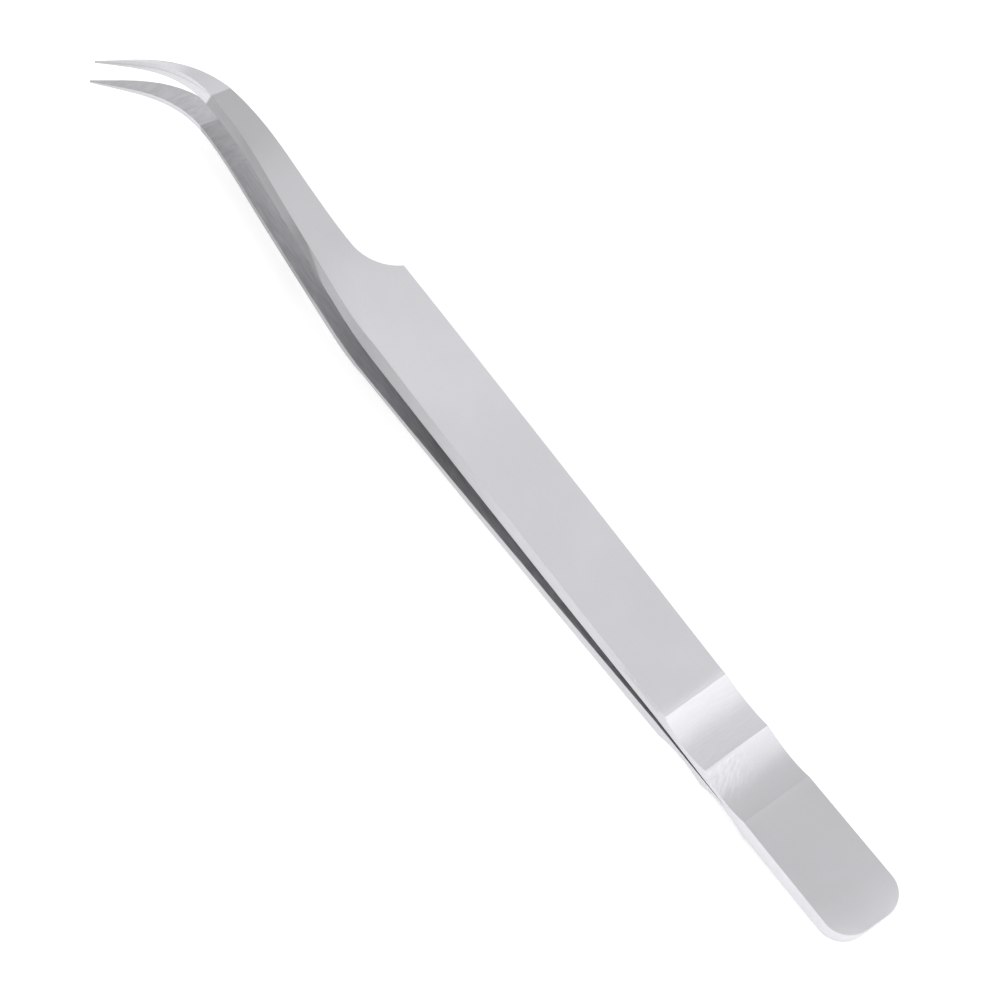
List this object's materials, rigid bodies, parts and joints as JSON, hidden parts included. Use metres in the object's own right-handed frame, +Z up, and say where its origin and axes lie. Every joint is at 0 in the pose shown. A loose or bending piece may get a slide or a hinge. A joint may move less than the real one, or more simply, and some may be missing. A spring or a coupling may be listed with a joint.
{
  "type": "tweezers",
  "caption": "Slim steel tweezers: sprung arms joined at a rounded butt end, ground hollows behind the grip, a stepped neck, and fine curved faceted points for picking up small parts.",
  "frame": {"origin": "centre of the bounding box, in the plane of the table that the lower arm lies on", "axes": "+X from the butt end to the tips, +Y to the side that the tips curve to, +Z up from the table"},
  "size_m": [0.1202, 0.012, 0.012],
  "materials": {
    "steel": "satin, with fine grinding lines"
  },
  "bodies": {
    "root": {"upper_arm": "steel", "lower_arm": "steel"}
  },
  "joints": []
}
